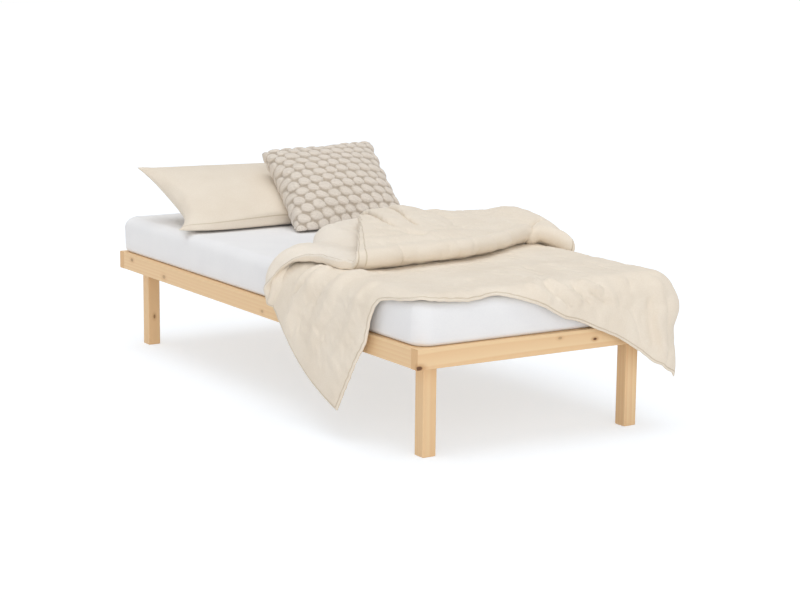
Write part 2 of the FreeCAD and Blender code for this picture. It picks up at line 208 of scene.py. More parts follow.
def buildStudio(settings):
    world = bpy.data.worlds.new("studio")
    scene.world = world
    world.use_nodes = True
    tree = world.node_tree
    tree.nodes.clear()
    level = remap(tree, seenDirectly(tree), (0.0, 1.0), (settings["ambient"], 1.0))
    sky = addNode(tree, "Background", {"Color": (1, 1, 1, 1), "Strength": level})
    addNode(tree, "OutputWorld", {"Surface": sky.outputs[0]})

    for name, (source, strength, angle) in settings["lamps"].items():
        lamp = bpy.data.lights.new(name, "SUN")
        lamp.energy = strength
        lamp.angle = math.radians(angle)
        holder = bpy.data.objects.new(name, lamp)
        holder.rotation_euler = (-Vector(source)).to_track_quat("-Z", "Y").to_euler()
        scene.collection.objects.link(holder)

    bm = bmesh.new()
    bmesh.ops.create_grid(bm, x_segments=1, y_segments=1, size=settings["floorSize"] / 2)
    floor = newObject("floor", bm)
    # matt white sweep: partly its own brightness, partly the light that falls on it
    material, tree, _ = newMaterial("whiteSweep", {})
    tree.nodes.clear()
    direct = seenDirectly(tree)
    # a breath of blue cancels the warm light that the wood throws into the shadow
    cool = mixColours(tree, direct, (1, 1, 1, 1), hexColour(settings["floorTint"]))
    matt = addNode(tree, "BsdfDiffuse", {"Color": cool})
    glow = addNode(tree, "Emission", {"Color": (1, 1, 1, 1), "Strength": settings["floorLevel"]})
    share = reckon(tree, "MULTIPLY", direct, settings["floorGlow"])
    mix = addNode(tree, "MixShader", {0: share, 1: matt.outputs[0], 2: glow.outputs[0]})
    addNode(tree, "OutputMaterial", {"Surface": mix.outputs[0]})
    floor.data.materials.append(material)


buildStudio(studio)
scene.view_settings.view_transform = "Standard"
print("camera and studio ready")

# Planed pine with a matt clear finish: pale honey wood, soft darker late-wood
# lines along the board, arcs on the end grain and a few small brown knots.
# The rings are drawn about three times as wide as real ones so that they show.
pine = {
    "early": "#F4D6AB", "late": "#EBC496", "streak": "#EECB9E", "endGrain": "#D2A069",
    "knot": "#5A331A", "halo": "#C08C58",
    # a ring's width, and where in it the late wood is darkest and where it ends
    "ringWidth": 0.011, "lateAt": 0.82, "lateEnd": 0.97, "waver": 0.048, "waverSize": 0.16, "stretch": 0.045,
    # where the first board lies in the log, and the steps to the next ones
    "pith": (0.085, 0.0, 0.06), "logSteps": (0.031, 0.37, 0.023),
    # streaks: scale across the grain, the part of the noise that shows and the tint it gives
    "streakScale": 28.0, "streakRange": (0.35, 0.7), "streakTint": (0.25, 0.8),
    # how far a face has to turn to the grain's end to count as one, and its tint
    "endRange": (0.8, 0.95), "endTint": 0.45,
    # knots: length drawn out along the grain, then colour, inner and outer reach in half widths, strength
    "knotSquash": 0.55, "knotRings": (("halo", 0.4, 2.6, 0.75), ("knot", 0.55, 1.0, 0.95)),
    "poreSize": 0.0016, "roughness": (0.42, 0.64), "fibreBump": 0.12, "fibreHeight": 0.0006,
}
# how the grain of a board is turned onto Y
grainTurns = {"x": (0, 0, math.pi / 2), "y": (0, 0, 0), "z": (math.pi / 2, 0, 0)}


def pineMaterial(name, grain, shift, knots):
    material, tree, shader = newMaterial(name, {"IOR": 1.5, "Specular IOR Level": 0.35})
    place = addNode(tree, "TexCoord").outputs["Object"]
    turned = addNode(tree, "Mapping",
                     {"Vector": place, "Rotation": grainTurns[grain], "Location": shift}).outputs[0]
    long = addNode(tree, "Mapping", {"Vector": turned, "Scale": (1, pine["stretch"], 1)}).outputs[0]
    waver = addNode(tree, "TexNoise", {"Vector": long, "Scale": 1 / pine["waverSize"], "Detail": 3.0})
    centred = addNode(tree, "VectorMath", {0: waver.outputs["Color"], 1: (0.5,) * 3}, operation="SUBTRACT")
    bent = addNode(tree, "VectorMath", {0: centred.outputs[0], 1: (pine["waver"],) * 3, 2: turned},
                   operation="MULTIPLY_ADD").outputs[0]
    # rings lie round the pith, which runs along the grain
    split = addNode(tree, "SeparateXYZ", {0: bent}).outputs
    ring = addNode(tree, "CombineXYZ", {"X": split["X"], "Y": split["Z"]}).outputs[0]
    fromPith = addNode(tree, "VectorMath", {0: ring}, operation="LENGTH").outputs["Value"]
    phase = reckon(tree, "FRACT", reckon(tree, "DIVIDE", fromPith, pine["ringWidth"]))
    # early wood fades slowly into late wood, which ends sharply
    band = colourRamp(tree, phase, ((0.0, pine["early"]), (pine["lateAt"], pine["late"]),
                                    (pine["lateEnd"], pine["early"])))
    # long paler and darker streaks, some decimetres long
    streaks = speckle(tree, long, pine["streakScale"], 4.0)
    tint = remap(tree, streaks, pine["streakRange"], pine["streakTint"])
    colour = mixColours(tree, tint, band, hexColour(pine["streak"]))
    # end grain drinks more of the finish and is darker
    normal = addNode(tree, "NewGeometry").outputs["Normal"]
    facing = reckon(tree, "ABSOLUTE", addNode(tree, "SeparateXYZ", {0: normal}).outputs[grain.upper()])
    tint = remap(tree, facing, pine["endRange"], (0.0, pine["endTint"]))
    colour = mixColours(tree, tint, colour, hexColour(pine["endGrain"]))
    for point, size, depth in knots:
        # a knot: dark heart and a warm halo drawn out along the grain
        away = addNode(tree, "VectorMath", {0: place, 1: point}, operation="SUBTRACT").outputs[0]
        along = [1.0, 1.0, 1.0]
        along["xyz".index(grain)] = pine["knotSquash"]
        shaped = addNode(tree, "VectorMath", {0: away, 1: along}, operation="MULTIPLY").outputs[0]
        reach = addNode(tree, "VectorMath", {0: shaped}, operation="LENGTH").outputs["Value"]
        for colourName, inner, outer, most in pine["knotRings"]:
            near = remap(tree, reach, (inner * size, outer * size), (most * depth, 0.0), "SMOOTHSTEP")
            colour = mixColours(tree, near, colour, hexColour(pine[colourName]))
    tree.links.new(colour, shader.inputs["Base Color"])
    # fine fibres along the board roughen and lift the surface a little
    fibres = speckle(tree, long, 1 / pine["poreSize"], 2.0)
    tree.links.new(remap(tree, fibres, (0.0, 1.0), pine["roughness"]), shader.inputs["Roughness"])
    tree.links.new(bumped(tree, fibres, pine["fibreBump"], pine["fibreHeight"]), shader.inputs["Normal"])
    return material


# Turned beech for the dowels: a plainer, pinker wood with short dark flecks
beech = {"stops": ((0.35, "#B98A5E"), (0.6, "#D9B48A")), "scale": 600.0, "stretch": 0.12, "roughness": 0.55}


def beechMaterial():
    material, tree, shader = newMaterial("beech", {"Roughness": beech["roughness"], "IOR": 1.5})
    place = addNode(tree, "TexCoord").outputs["Object"]
    long = addNode(tree, "Mapping", {"Vector": place, "Scale": (1, beech["stretch"], 1)}).outputs[0]
    flecks = speckle(tree, long, beech["scale"], 2.0)
    tree.links.new(colourRamp(tree, flecks, beech["stops"]), shader.inputs["Base Color"])
    return material


# Zinc-plated steel for screws, bolts and inserts: bright grey, faintly blotched
zincSteel = {"colour": "#C9CBCB", "blotchScale": 350.0, "roughness": (0.22, 0.42)}


def steelMaterial():
    colour = hexColour(zincSteel["colour"])
    material, tree, shader = newMaterial("zincSteel", {"Metallic": 1.0, "Base Color": colour})
    place = addNode(tree, "TexCoord").outputs["Object"]
    blotch = speckle(tree, place, zincSteel["blotchScale"], 3.0)
    tree.links.new(remap(tree, blotch, (0.0, 1.0), zincSteel["roughness"]), shader.inputs["Roughness"])
    return material


# knots: middle in metres, half width and how dark they are
knotPlaces = {
    "side_rail_left": [((-0.46, 0.907, 0.322), 0.007, 0.45), ((-0.46, 0.642, 0.300), 0.008, 0.35),
                       ((-0.46, -0.082, 0.298), 0.006, 0.30)],
    "foot_rail": [((-0.455, -1.01, 0.287), 0.008, 0.95), ((0.179, -1.01, 0.309), 0.0045, 1.0),
                  ((0.047, -1.01, 0.325), 0.005, 0.35)],
    "leg_head_left": [((-0.375, 0.902, 0.105), 0.005, 0.6)],
}


def finishFrame():
    steel, dowelWood = steelMaterial(), beechMaterial()
    for index, (name, node) in enumerate(sorted(nodes.items())):
        if frame["bodies"]["frame"] is not node.parent:
            continue
        if name.startswith(("leg_bolts", "insert_nuts")) or name.endswith("_screws"):
            material = steel
        elif name == "corner_dowels":
            material = dowelWood
        else:
            if name.startswith("leg_"):
                grain = "z"
            elif name.startswith(("side_rail", "slat_ledge")):
                grain = "y"
            else:
                grain = "x"
            # each board is cut from another part of the log
            counts = (index % 5, index, index % 7)
            shift = [a + step * count for a, step, count in zip(pine["pith"], pine["logSteps"], counts)]
            material = pineMaterial("pine_" + name, grain, shift, knotPlaces.get(name, []))
        node.data.materials.clear()
        node.data.materials.append(material)


finishFrame()
print("frame finished")

# Woven cotton: matt, slightly uneven in colour, with a soft fuzz at grazing
# angles. Threads are 0.4 mm apart in truth and are drawn at threadSize.
cotton = {
    "sheet": {"colour": "#F4F4F5", "shade": "#EFEFF1", "threadSize": 0.0016, "bump": 0.10, "crease": 0.0},
    "pillow": {"colour": "#EDE3D4", "shade": "#E6DAC9", "threadSize": 0.0018, "bump": 0.14, "crease": 0.20},
    "duvet": {"colour": "#F1E7D8", "shade": "#EADECD", "threadSize": 0.0018, "bump": 0.14, "crease": 0.28},
    "duvetUnder": {"colour": "#F2EADE", "shade": "#ECE2D4", "threadSize": 0.0018, "bump": 0.14,
                   "crease": 0.28},
    "ticking": {"colour": "#EEEEEC", "shade": "#DFE1E2", "threadSize": 0.0022, "bump": 0.25, "crease": 0.0},
}
cottonFinish = {"Roughness": 0.88, "IOR": 1.46, "Specular IOR Level": 0.2,
                "Sheen Weight": 0.15, "Sheen Roughness": 0.45}
# What all cottons share: unevenness, depth of weave and crumple in metres, sewn lines, whose colour is part
# thread and part painted shade of the hem's edge
cottonDetail = {
    "cloudScale": 9.0, "slubScale": 260.0, "slubShare": 0.8, "shadeRange": (0.6, 1.2),
    "weaveWander": 0.6, "weaveHeight": 0.0006,
    "crumpleScale": 11.0, "crumpleWander": 0.8, "crumpleHeight": 0.004,
    "seamAndShadeColour": "#B8A27F", "seamAndShadeTint": 0.5, "seamBump": 0.6, "seamDepth": 0.002, "seamWidth": 0.0028,
}


def stitchLine(tree, distance, place):
    # 1 on a thin line at the given distance from an edge, 0 beside it
    apart = reckon(tree, "ABSOLUTE", reckon(tree, "SUBTRACT", distance, place))
    return remap(tree, apart, (0.0, cottonDetail["seamWidth"]), (1.0, 0.0), "SMOOTHSTEP")


def cottonMaterial(name, seams=None):
    settings, detail = cotton[name], cottonDetail
    material, tree, shader = newMaterial(name + "Cotton", cottonFinish)
    place = addNode(tree, "TexCoord").outputs["Object"]
    cloudy = speckle(tree, place, detail["cloudScale"], 5.0)
    slub = speckle(tree, place, detail["slubScale"], 2.0)
    patch = reckon(tree, "MULTIPLY_ADD", slub, detail["slubShare"], cloudy)
    shaded = remap(tree, patch, detail["shadeRange"])
    colour = mixColours(tree, shaded, hexColour(settings["colour"]), hexColour(settings["shade"]))
    # warp and weft as crossed fine waves
    weave = 0.0
    for way in "XYZ":
        wave = addNode(tree, "TexWave", {"Vector": place, "Scale": wavePeriod / settings["threadSize"],
                                         "Distortion": detail["weaveWander"], "Detail Scale": 2.0},
                       bands_direction=way)
        weave = reckon(tree, "ADD", weave, wave.outputs["Fac"])
    normal = bumped(tree, weave, settings["bump"], detail["weaveHeight"])
    if settings["crease"]:
        # the soft crumple of washed cloth, folds a few centimetres apart
        crumple = addNode(tree, "TexNoise", {"Vector": place, "Scale": detail["crumpleScale"], "Detail": 3.0,
                                             "Distortion": detail["crumpleWander"]},
                          noise_type="RIDGED_MULTIFRACTAL")
        normal = bumped(tree, crumple.outputs["Fac"], settings["crease"], detail["crumpleHeight"], normal)
    if seams:
        line = seams(tree)
        # a sewn line's darkening is partly thread colour, partly painted shade standing for the shadow along
        # the hem's edge
        faint = reckon(tree, "MULTIPLY", line, detail["seamAndShadeTint"])
        colour = mixColours(tree, faint, colour, hexColour(detail["seamAndShadeColour"]))
        normal = bumped(tree, line, detail["seamBump"], detail["seamDepth"], normal, invert=True)
    tree.links.new(colour, shader.inputs["Base Color"])
    tree.links.new(normal, shader.inputs["Normal"])
    return material


# Mattress: foam block in plain ticking, seen only from below
mattress = {
    "inset": 0.003, "footCorners": 0.056, "headCorners": 0.036, "cornerSegments": 10,
    "topRadius": 0.038, "bottomRadius": 0.016, "edgeSegments": 7,
    "cuts": (18, 40),  # strips across and along, so that the sheet can bulge
}
# Fitted sheet: pulled over the mattress and under its edge. Its sides, past the
# share wallFrom of the half size, bulge and ripple a little.
sheet = {
    "hem": 0.09, "hemSlack": 0.02, "thickness": 0.0015, "flat": (1.34, 2.44), "area": 3.04,
    "bulge": 0.003, "headBulge": 0.012, "wallFrom": 0.97, "ripple": 0.35, "rippleScale": 6.0,
}


def roundedBlock(inset):
    low, high = mattressLow + Vector((inset,) * 3), mattressHigh - Vector((inset,) * 3)
    bm = bmesh.new()
    bmesh.ops.create_cube(bm, size=1.0)
    bmesh.ops.scale(bm, vec=high - low, verts=bm.verts)
    bmesh.ops.translate(bm, vec=(low + high) / 2, verts=bm.verts)
    for radius, end in ((mattress["footCorners"], low.y), (mattress["headCorners"], high.y)):
        upright = [e for e in bm.edges if abs(e.verts[0].co.z - e.verts[1].co.z) > closeBy
                   and all(abs(v.co.y - end) < closeBy for v in e.verts)]
        bmesh.ops.bevel(bm, geom=upright, offset=radius, affect="EDGES", segments=mattress["cornerSegments"],
                        profile=0.5, material=-1)
    rims = [e for e in bm.edges if len(e.link_faces) == 2
            and sorted(abs(round(f.normal.z)) for f in e.link_faces) == [0, 1]]
    middle = (low.z + high.z) / 2
    for radius, above in ((mattress["topRadius"], True), (mattress["bottomRadius"], False)):
        rim = [e for e in rims if e.is_valid and (e.verts[0].co.z > middle) == above]
        bmesh.ops.bevel(bm, geom=rim, offset=radius, affect="EDGES", segments=mattress["edgeSegments"],
                        profile=0.5, material=-1)
    for axis, count in enumerate(mattress["cuts"]):
        for i in range(1, count):
            plane, normal = Vector((0, 0, 0)), Vector((0, 0, 0))
            plane[axis] = low[axis] + (high[axis] - low[axis]) * i / count
            normal[axis] = 1.0
            everything = bm.verts[:] + bm.edges[:] + bm.faces[:]
            bmesh.ops.bisect_plane(bm, geom=everything, plane_co=plane, plane_no=normal)
    return bm


def buildMattress():
    bm = roundedBlock(mattress["inset"])
    core = newObject("mattressCore", bm)
    dress(core, [cottonMaterial("ticking")], "mattress", ["mattress"])

    bm = roundedBlock(0.0)
    middle = (mattressLow + mattressHigh) / 2
    half = (mattressHigh - mattressLow) / 2
    for vert in bm.verts:
        share = (vert.co.z - mattressLow.z) / (2 * half.z)
        side = Vector((vert.co.x - middle.x, vert.co.y - middle.y, 0))
        wall = max(abs(side.x) / half.x, abs(side.y) / half.y)
        if wall > sheet["wallFrom"]:
            ripple = 1 + sheet["ripple"] * noise.noise(vert.co * sheet["rippleScale"])
            bulge = sheet["headBulge"] if side.y > half.y * sheet["wallFrom"] else sheet["bulge"]
            vert.co += side.normalized() * bulge * math.sin(math.pi * min(max(share, 0), 1)) * ripple
    # below, only the hem stays
    tucked = sheet["hem"] - sheet["hemSlack"]
    under = [f for f in bm.faces if f.normal.z < -0.9
             and all(abs(v.co.x - middle.x) < half.x - tucked
                     and abs(v.co.y - middle.y) < half.y - tucked for v in f.verts)]
    bmesh.ops.delete(bm, geom=under, context="FACES")
    cover = newObject("fittedSheet", bm)
    wall = cover.modifiers.new("wall", "SOLIDIFY")
    wall.thickness = sheet["thickness"]
    wall.offset = -1
    dress(cover, [cottonMaterial("sheet")], "mattress", ["fitted_sheet"])


buildMattress()
print("mattress and sheet ready")


# Stuffed pads: two panels of cloth sewn round the edge and blown up by the filling.
# The flatness is a power, across and along: the higher, the flatter the middle.
padShape = {"flatness": (2.6, 2.2), "seamReach": 0.0005, "clothQuality": 6}


def stuffedPad(name, settings):
    size, cells = settings["size"], settings["cells"]
    flatX, flatY = padShape["flatness"]
    bm = bmesh.new()
    bm.loops.layers.uv.new("flat")
    panels = []
    for crown in (settings["crown"], -settings["belly"]):
        made = bmesh.ops.create_grid(bm, x_segments=cells[0], y_segments=cells[1], size=0.5, calc_uvs=True)
        panels.append(made["verts"])
        for vert in made["verts"]:
            u, v = 2 * vert.co.x, 2 * vert.co.y
            swell = (1 - abs(u) ** flatX) ** settings["ends"] * (1 - abs(v) ** flatY) ** settings["fullness"]
            inX, inY = 1 - settings["draw"] * (1 - v * v), 1 - settings["draw"] * (1 - u * u)
            vert.co = (size[0] * u * inX / 2, size[1] * v * inY / 2, crown * swell)
    below = set(panels[1])
    bmesh.ops.reverse_faces(bm, faces=[f for f in bm.faces if all(v in below for v in f.verts)])
    bmesh.ops.remove_doubles(bm, verts=bm.verts, dist=padShape["seamReach"])
    pad = newObject(name, bm)
    settle(pad, settings)
    return pad


def settle(piece, settings):
    # a short cloth simulation: the cloth is a little too large for its shape and puckers
    before = np.array([v.co for v in piece.data.vertices])
    cloth = piece.modifiers.new("cloth", "CLOTH")
    cloth.settings.quality = padShape["clothQuality"]
    cloth.settings.effector_weights.gravity = 0
    cloth.settings.use_pressure = settings["pressure"] > 0
    cloth.settings.uniform_pressure_force = settings["pressure"]
    cloth.settings.bending_stiffness = settings["bending"]
    cloth.settings.shrink_min = cloth.settings.shrink_max = -settings["ease"]
    cloth.collision_settings.use_collision = False
    if "hold" in piece.vertex_groups:
        cloth.settings.vertex_group_mass = "hold"
        cloth.settings.pin_stiffness = settings["hold"]
    cloth.point_cache.frame_start, cloth.point_cache.frame_end = 1, settings["frames"]
    for step in range(1, settings["frames"] + 1):
        scene.frame_set(step)
    settled = bpy.data.meshes.new_from_object(piece.evaluated_get(bpy.context.evaluated_depsgraph_get()))
    move = np.array([v.co for v in settled.vertices]) - before
    far = np.linalg.norm(move, axis=1, keepdims=True)
    after = before + move * np.minimum(1.0, settings["cap"] / np.maximum(far, 1e-9))
    print(piece.name, "cloth moved up to %.4f, on average %.4f" % (far.max(), far.mean()))
    piece.modifiers.remove(cloth)
    piece.data.vertices.foreach_set("co", after.astype(np.float32).ravel())
    piece.data.update()
    scene.frame_set(1)


def bakeModifiers(piece):
    mesh = bpy.data.meshes.new_from_object(piece.evaluated_get(bpy.context.evaluated_depsgraph_get()))
    piece.modifiers.clear()
    piece.data = mesh


def subdivide(piece, levels):
    smooth = piece.modifiers.new("smooth", "SUBSURF")
    smooth.levels = smooth.render_levels = levels
    smooth.boundary_smooth = "PRESERVE_CORNERS"


# Pillow, lying tilted with its back edge raised
pillow = {
    "size": (0.70, 0.485), "cells": (56, 40), "crown": 0.050, "belly": 0.105,
    "fullness": 0.95, "ends": 0.85, "draw": 0.08,
    "pressure": 1.0, "bending": 0.1, "ease": 0.05, "frames": 14, "cap": 0.014,
    "middle": (-0.085, 0.6625, 0.5715), "turn": 2.0, "tilt": 22.8, "spin": 0.0, "rest": 0.002, "give": 0.02,
    "hem": 0.026, "cornerBack": 0.060, "cornerOut": 0.036, "cornerDown": 0.012, "cornerPowers": (4, 2),
    "sag": 0.024, "sagPowers": (1.5, 0.7),
}


def layDown(pad, settings):
    turn = Matrix.Rotation(math.radians(settings["turn"]), 4, "Z")
    tilt = Matrix.Rotation(math.radians(settings["tilt"]), 4, "X")
    spin = Matrix.Rotation(math.radians(settings["spin"]), 4, "Z")
    pad.data.transform(Matrix.Translation(settings["middle"]) @ turn @ tilt @ spin)
    ground, give = mattressTop + settings["rest"], settings["give"]
    for vert in pad.data.vertices:
        # the underside flattens on the mattress
        height = vert.co.z - ground
        if height < give:
            vert.co.z = ground + give * math.exp((height - give) / give)


# the pillowcase's hem: a stitched line along the front edge, its darkening partly thread and partly painted
# shade
def pillowHem(tree):
    flat = addNode(tree, "UVMap", uv_map="flat").outputs[0]
    upwards = addNode(tree, "SeparateXYZ", {0: flat}).outputs["Y"]
    fromEdge = reckon(tree, "MULTIPLY", upwards, pillow["size"][1])
    return stitchLine(tree, fromEdge, pillow["hem"])


def buildPillow():
    pad = stuffedPad("pillow", pillow)
    half = Vector(pillow["size"]) / 2
    (cornerX, cornerY), (sagY, sagX) = pillow["cornerPowers"], pillow["sagPowers"]
    for vert in pad.data.vertices:
        # the left front corner is drawn back, its ear lies on the mattress
        u, v = vert.co.x / half.x, vert.co.y / half.y
        share = max(0.0, -u) ** cornerX * max(0.0, (1 - v) / 2) ** cornerY
        vert.co.x -= pillow["cornerOut"] * share
        vert.co.y += pillow["cornerBack"] * share
        vert.co.z -= pillow["cornerDown"] * share
        # the raised back edge sags between its corners, under the cushion most
        behind, right = max(0.0, (1 + v) / 2), max(0.0, (1 + u) / 2)
        vert.co.z -= pillow["sag"] * behind ** sagY * right ** sagX
    subdivide(pad, 1)
    bakeModifiers(pad)
    layDown(pad, pillow)
    cloth = cottonMaterial("pillow", pillowHem)
    dress(pad, [cloth], "pillow", ["pillowcase", "pillow_insert"])


buildPillow()
print("pillow ready")


# Cushion, leaning back on the pillow, covered in a bubble knit
cushion = {
    "size": (0.435, 0.435), "cells": (38, 38), "crown": 0.072, "belly": 0.070,
    "fullness": 0.7, "ends": 0.6, "draw": 0.03,
    "pressure": 2.0, "bending": 0.5, "ease": 0.02, "frames": 14, "cap": 0.010,
    "middle": (0.130, 0.458, 0.600), "turn": -14.5, "tilt": 36.5, "spin": 5.6, "rest": 0.003, "give": 0.02,
    # bubbles across and in rows; how far the hand knit strays, as a share of the side
    "bubbles": (10.0, 12.0), "bubbleHeight": 0.011, "wander": 0.020, "wanderScale": 6.0, "wanderSlice": 0.3,
    # the crowns hang towards the lower edge and lean to one side; least size and its spread
    "hang": 0.22, "lean": 0.30, "least": 0.80, "spread": 0.20, "spreadMix": (12.9898, 78.233),
    "roundness": 2.4, "rowShare": 0.9, "dome": 0.55, "edgeWidth": 0.03, "edgeLift": 0.25,
}
# Chunky bubble knit: matt beige wool mix, each bubble ribbed by its stitches,
# which are 4 mm apart in truth and drawn twice as coarse
knit = {
    # colour stops from the grooves to the crowns: grooves darker as painted shade, crowns lighter as painted
    # light, each bubble's tone also varied at random by its size
    "stops": ((0.1, "#C0B2A1"), (0.7, "#E9DFD3")), "fuzzScale": 420.0, "fuzzShare": 0.35,
    "stitchSize": 0.00785, "stitchWander": 4.0, "bump": 0.6, "bumpHeight": 0.003,
}
knitFinish = {"Roughness": 0.95, "IOR": 1.45, "Specular IOR Level": 0.15,
              "Sheen Weight": 0.3, "Sheen Roughness": 0.5}


def knitMaterial():
    material, tree, shader = newMaterial("bubbleKnit", knitFinish)
    place = addNode(tree, "TexCoord").outputs["Object"]
    # the bubble's lift paints shade into the grooves and light onto the crowns, with a random tone per
    # bubble
    lift = addNode(tree, "Attribute", attribute_name="bubble").outputs["Fac"]
    fuzz = speckle(tree, place, knit["fuzzScale"], 3.0)
    groovesShadedTone = reckon(tree, "MULTIPLY_ADD", fuzz, knit["fuzzShare"], lift)
    tree.links.new(colourRamp(tree, groovesShadedTone, knit["stops"]), shader.inputs["Base Color"])
    # stitches along the rows, slanting as the yarn lies
    stitches = addNode(tree, "TexWave", {"Vector": place, "Scale": wavePeriod / knit["stitchSize"],
                                         "Distortion": knit["stitchWander"]}, bands_direction="DIAGONAL")
    both = reckon(tree, "ADD", fuzz, stitches.outputs["Fac"])
    tree.links.new(bumped(tree, both, knit["bump"], knit["bumpHeight"]), shader.inputs["Normal"])
    return material


def bubbleLift(u, v):
    # brick-offset rows of ovals, 0 in the grooves and 1 on the crowns; the hand knit is uneven
    scale, power = cushion["wanderScale"], cushion["roundness"]
    spots = [Vector((a * scale, b * scale, cushion["wanderSlice"])) for a, b in zip(u, v)]
    wander = cushion["wander"] * np.array([noise.noise_vector(spot) for spot in spots])
    perRow, rows = cushion["bubbles"]
    row = (v + wander[:, 0]) * rows
    rowNumber = np.floor(row)
    across = (u + wander[:, 1]) * perRow + 0.5 * (rowNumber % 2)
    x = 2 * (across - np.floor(across)) - 1
    y = 2 * (row - rowNumber) - 1
    y = y + cushion["hang"] * (1 - y * y)
    x = x + cushion["lean"] * y
    mixColumn, mixRow = cushion["spreadMix"]
    size = cushion["least"] + cushion["spread"] * np.sin(mixColumn * np.floor(across) + mixRow * rowNumber)
    oval = 1 - np.abs(x) ** power - cushion["rowShare"] * np.abs(y) ** power
    return size * np.clip(oval, 0, 1) ** cushion["dome"]


def buildCushion():
    pad = stuffedPad("cushion", cushion)
    subdivide(pad, 2)
    bakeModifiers(pad)
    mesh = pad.data
    uv = np.zeros((len(mesh.vertices), 2))
    for loop in mesh.loops:
        uv[loop.vertex_index] = mesh.uv_layers[0].data[loop.index].uv
    edge = np.minimum(np.minimum(uv[:, 0], 1 - uv[:, 0]), np.minimum(uv[:, 1], 1 - uv[:, 1]))
    lift = bubbleLift(uv[:, 0], uv[:, 1])
    height = cushion["bubbleHeight"] * lift * np.clip(edge / cushion["edgeWidth"], cushion["edgeLift"], 1)
    places = np.array([v.co for v in mesh.vertices])
    normals = np.array([v.normal for v in mesh.vertices])
    mesh.vertices.foreach_set("co", (places + normals * height[:, None]).astype(np.float32).ravel())
    # the lift is kept for the knit's colour, where it paints shade into the grooves
    mesh.attributes.new("bubble", "FLOAT", "POINT").data.foreach_set("value", lift.astype(np.float32))
    mesh.update()
    layDown(pad, cushion)
    dress(pad, [knitMaterial()], "cushion", ["cushion_cover", "cushion_insert"])


buildCushion()
print("cushion ready")

